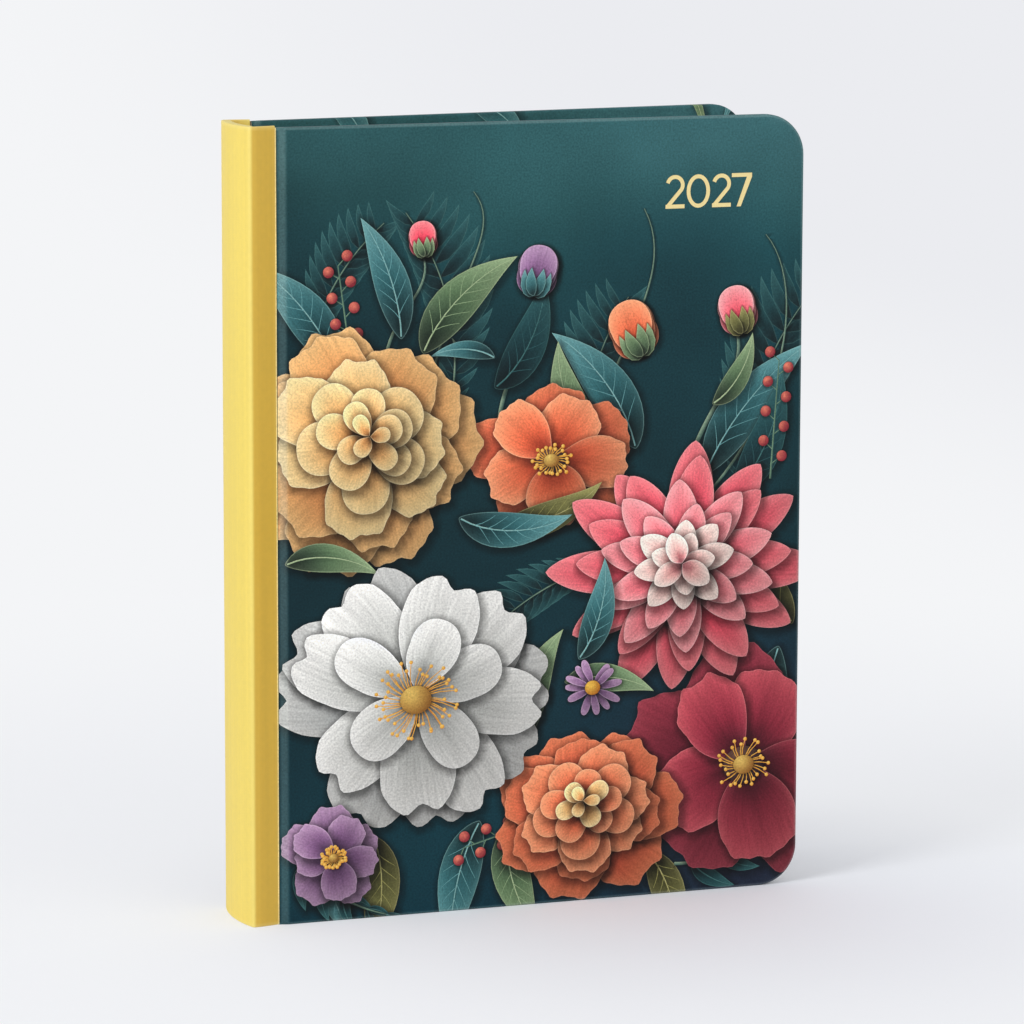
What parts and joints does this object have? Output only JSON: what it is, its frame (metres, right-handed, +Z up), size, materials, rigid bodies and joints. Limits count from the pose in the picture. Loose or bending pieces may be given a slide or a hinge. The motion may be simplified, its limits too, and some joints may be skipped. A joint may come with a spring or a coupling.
{
  "type": "dated diary",
  "caption": "Hardcover dated diary standing on its tail edges: cloth spine, printed boards with round corners, hinged joints, sewn page block, back cover a little ajar.",
  "frame": {"origin": "bottom centre of the whole diary's box, on the surface that it stands on", "axes": "+X from the spine to the fore-edge along the front cover, +Y from the front cover to the back cover, +Z up from the tail to the head"},
  "size_m": [0.1568, 0.0402, 0.2104],
  "materials": {
    "cloth": "matt coated bookcloth, pale yellow",
    "cover_paper": "matt laminated print",
    "board": "dense grey board",
    "endpaper": "smooth uncoated",
    "page": "uncoated, ruled",
    "lining": "brown kraft",
    "mull": "open cotton gauze",
    "thread": "waxed sewing thread",
    "headband": "woven yellow and white",
    "foil": "pale gold stamping foil"
  },
  "bodies": {
    "spine": {"spine_cloth": "cloth", "spine_inlay": "board", "spine_lining": "lining", "mull": "mull", "headband_top": "headband", "headband_bottom": "headband", "sewing_thread_1": "thread", "sewing_thread_2": "thread", "sewing_thread_3": "thread", "sewing_thread_4": "thread", "sewing_thread_5": "thread", "section_06": "page"},
    "front_joint": {"front_joint_cloth": "cloth", "front_joint_lining": "mull"},
    "front_cover": {"front_board": "board", "front_cover_paper": "cover_paper", "front_pastedown": "endpaper", "year_numeral_1": "foil", "year_numeral_2": "foil", "year_numeral_3": "foil", "year_numeral_4": "foil"},
    "front_flyleaf": {"front_flyleaf": "endpaper"},
    "back_joint": {"back_joint_cloth": "cloth", "back_joint_lining": "mull"},
    "back_cover": {"back_board": "board", "back_cover_paper": "cover_paper", "back_pastedown": "endpaper"},
    "back_flyleaf": {"back_flyleaf": "endpaper"},
    "section_01": {"section_01": "page"},
    "section_02": {"section_02": "page"},
    "section_03": {"section_03": "page"},
    "section_04": {"section_04": "page"},
    "section_05": {"section_05": "page"},
    "section_07": {"section_07": "page"},
    "section_08": {"section_08": "page"},
    "section_09": {"section_09": "page"},
    "section_10": {"section_10": "page"},
    "section_11": {"section_11": "page"}
  },
  "joints": [
    {"name": "front_cover_hinge", "type": "hinge", "parent": "front_joint", "child": "front_cover", "pos_m": [-0.06955, -0.01902, 0.105], "axis": [0, 0, -1], "range_deg": [0, 90]},
    {"name": "front_joint_hinge", "type": "hinge", "parent": "spine", "child": "front_joint", "pos_m": [-0.0747, -0.02012, 0.105], "axis": [0, 0, -1], "range_deg": [0, 90]},
    {"name": "front_flyleaf_hinge", "type": "hinge", "parent": "front_joint", "child": "front_flyleaf", "pos_m": [-0.06955, -0.01662, 0.105], "axis": [0, 0, -1], "range_deg": [0, 45]},
    {"name": "back_cover_hinge", "type": "hinge", "parent": "back_joint", "child": "back_cover", "pos_m": [-0.0695, 0.00328, 0.105], "axis": [0, 0, 1], "range_deg": [-3.08, 86.92]},
    {"name": "back_joint_hinge", "type": "hinge", "parent": "spine", "child": "back_joint", "pos_m": [-0.0747, 0.0041, 0.105], "axis": [0, 0, 1], "range_deg": [-3.08, 86.92]},
    {"name": "back_flyleaf_hinge", "type": "hinge", "parent": "back_joint", "child": "back_flyleaf", "pos_m": [-0.06937, 0.00088, 0.105], "axis": [0, 0, 1], "range_deg": [-1.54, 43.46]},
    {"name": "section_01_hinge", "type": "hinge", "parent": "spine", "child": "section_01", "pos_m": [-0.07286, -0.01561, 0.105], "axis": [0, 0, -1], "range_deg": [0, 72]},
    {"name": "section_02_hinge", "type": "hinge", "parent": "spine", "child": "section_02", "pos_m": [-0.07286, -0.01409, 0.105], "axis": [0, 0, -1], "range_deg": [0, 57.6]},
    {"name": "section_03_hinge", "type": "hinge", "parent": "spine", "child": "section_03", "pos_m": [-0.07286, -0.01257, 0.105], "axis": [0, 0, -1], "range_deg": [0, 43.2]},
    {"name": "section_04_hinge", "type": "hinge", "parent": "spine", "child": "section_04", "pos_m": [-0.07286, -0.01105, 0.105], "axis": [0, 0, -1], "range_deg": [0, 28.8]},
    {"name": "section_05_hinge", "type": "hinge", "parent": "spine", "child": "section_05", "pos_m": [-0.07286, -0.00953, 0.105], "axis": [0, 0, -1], "range_deg": [0, 14.4]},
    {"name": "section_07_hinge", "type": "hinge", "parent": "spine", "child": "section_07", "pos_m": [-0.07286, -0.00649, 0.105], "axis": [0, 0, 1], "range_deg": [-0.49, 13.91]},
    {"name": "section_08_hinge", "type": "hinge", "parent": "spine", "child": "section_08", "pos_m": [-0.07286, -0.00497, 0.105], "axis": [0, 0, 1], "range_deg": [-0.98, 27.82]},
    {"name": "section_09_hinge", "type": "hinge", "parent": "spine", "child": "section_09", "pos_m": [-0.07286, -0.00345, 0.105], "axis": [0, 0, 1], "range_deg": [-1.48, 41.72]},
    {"name": "section_10_hinge", "type": "hinge", "parent": "spine", "child": "section_10", "pos_m": [-0.07286, -0.00193, 0.105], "axis": [0, 0, 1], "range_deg": [-1.97, 55.63]},
    {"name": "section_11_hinge", "type": "hinge", "parent": "spine", "child": "section_11", "pos_m": [-0.07286, -0.00041, 0.105], "axis": [0, 0, 1], "range_deg": [-2.46, 69.54]}
  ],
  "couplings": [
    {"joint": "front_joint_hinge", "follows": "front_cover_hinge", "ratio": 1},
    {"joint": "front_flyleaf_hinge", "follows": "front_cover_hinge", "ratio": 0.5},
    {"joint": "back_joint_hinge", "follows": "back_cover_hinge", "ratio": 1},
    {"joint": "back_flyleaf_hinge", "follows": "back_cover_hinge", "ratio": 0.5},
    {"joint": "section_01_hinge", "follows": "front_cover_hinge", "ratio": 0.8},
    {"joint": "section_02_hinge", "follows": "front_cover_hinge", "ratio": 0.64},
    {"joint": "section_03_hinge", "follows": "front_cover_hinge", "ratio": 0.48},
    {"joint": "section_04_hinge", "follows": "front_cover_hinge", "ratio": 0.32},
    {"joint": "section_05_hinge", "follows": "front_cover_hinge", "ratio": 0.16},
    {"joint": "section_07_hinge", "follows": "back_cover_hinge", "ratio": 0.16},
    {"joint": "section_08_hinge", "follows": "back_cover_hinge", "ratio": 0.32},
    {"joint": "section_09_hinge", "follows": "back_cover_hinge", "ratio": 0.48},
    {"joint": "section_10_hinge", "follows": "back_cover_hinge", "ratio": 0.64},
    {"joint": "section_11_hinge", "follows": "back_cover_hinge", "ratio": 0.8}
  ]
}
